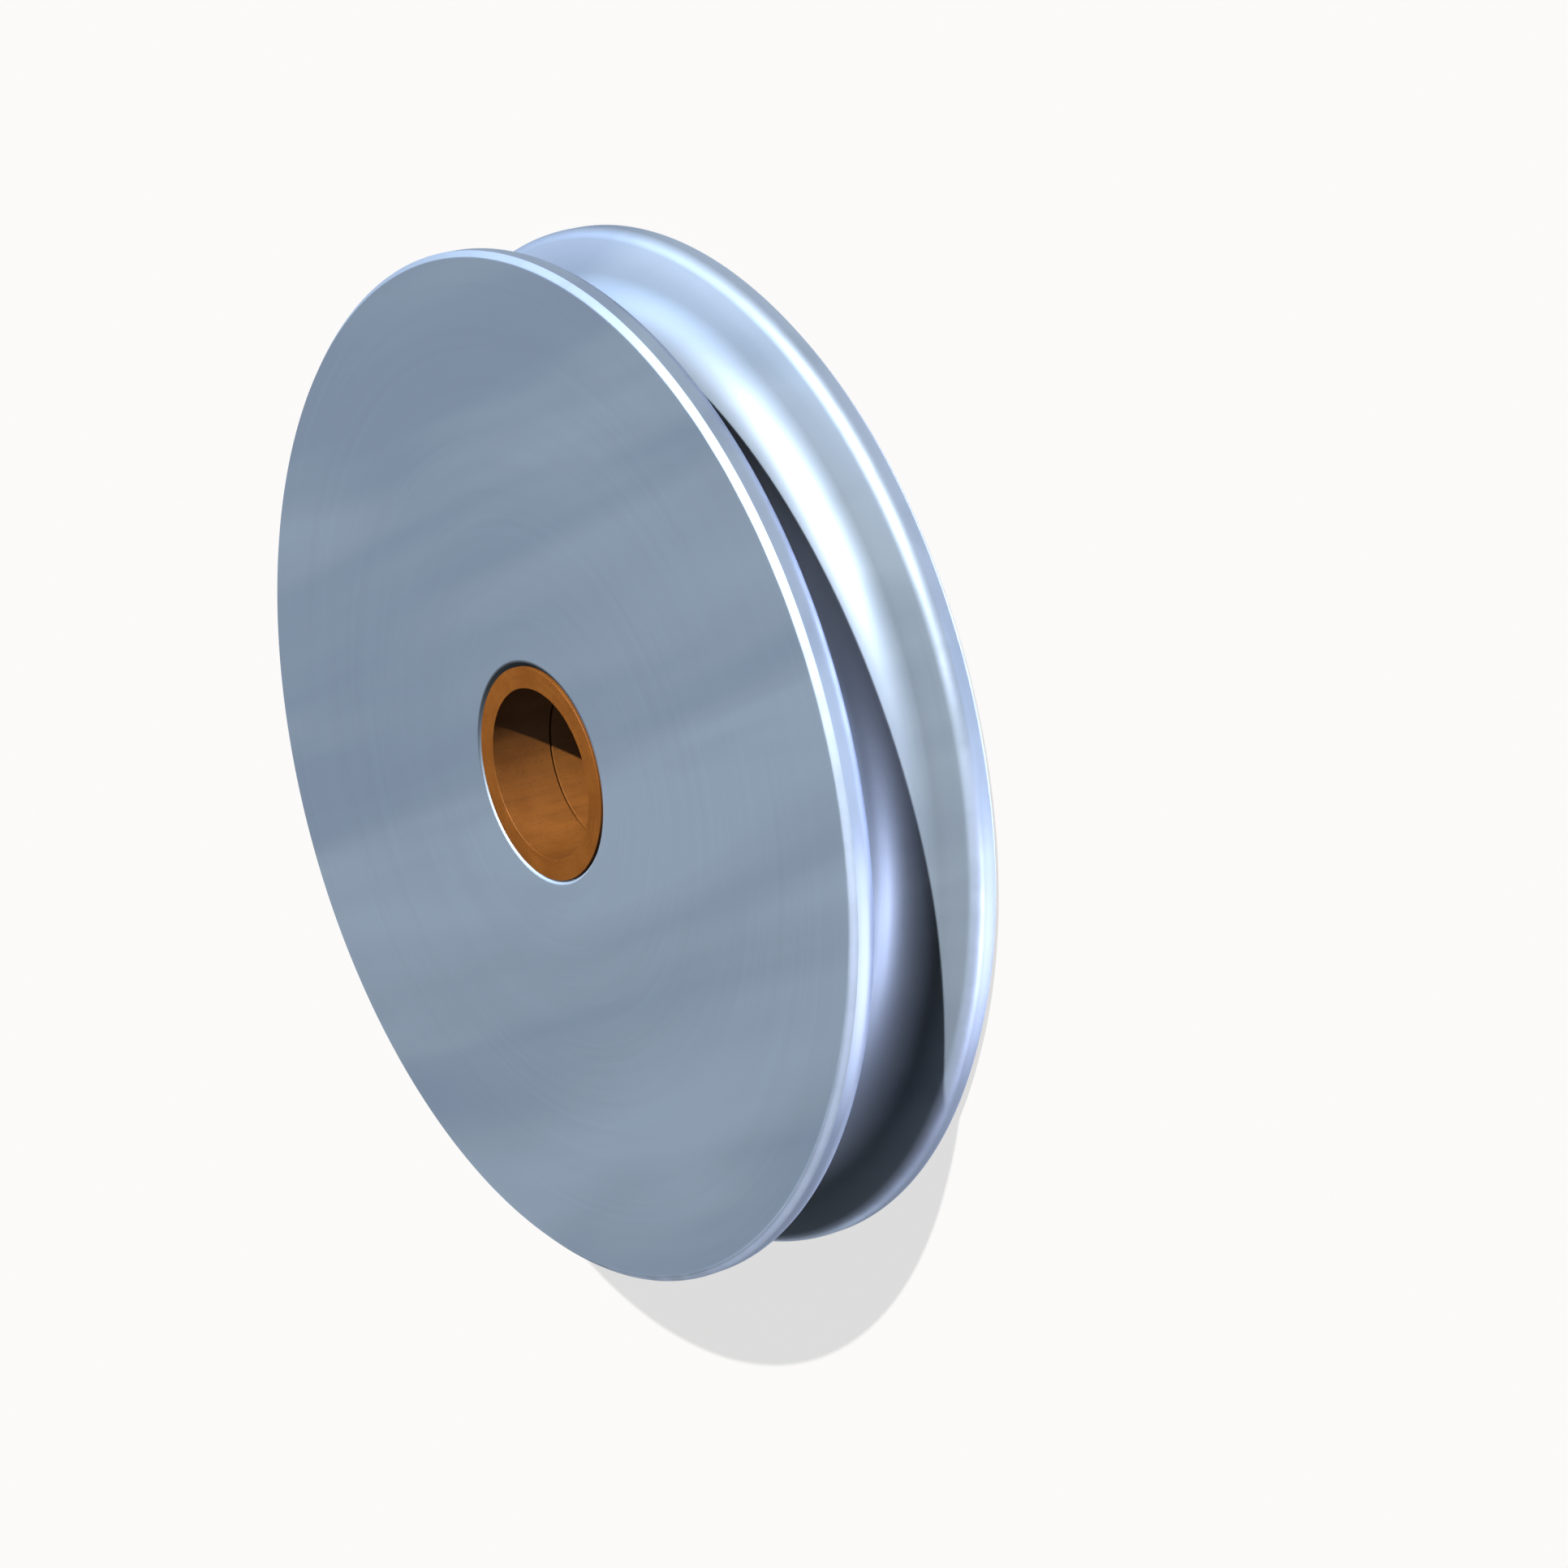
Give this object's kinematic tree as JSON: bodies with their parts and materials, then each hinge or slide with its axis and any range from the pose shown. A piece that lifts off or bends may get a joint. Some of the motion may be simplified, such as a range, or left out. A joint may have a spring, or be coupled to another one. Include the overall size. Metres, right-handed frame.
{
  "type": "cable pulley",
  "caption": "Flat steel sheave with one deep rope groove round its rim and plain bronze bushes pressed in its centre, for guiding a cable on an axle.",
  "frame": {"origin": "on the axis, in the middle of the width and of the rope groove", "axes": "+Z along the axis, out of the front face; the pulley lies on its back face; X and Y radial"},
  "size_m": [0.12, 0.12, 0.0196],
  "materials": {
    "steel": "fine turned, satin, blue-grey",
    "bronze": "sintered bronze, satin, oil-darkened"
  },
  "bodies": {
    "root": {"sheave": "steel", "bush_front": "bronze", "bush_rear": "bronze"}
  },
  "joints": []
}
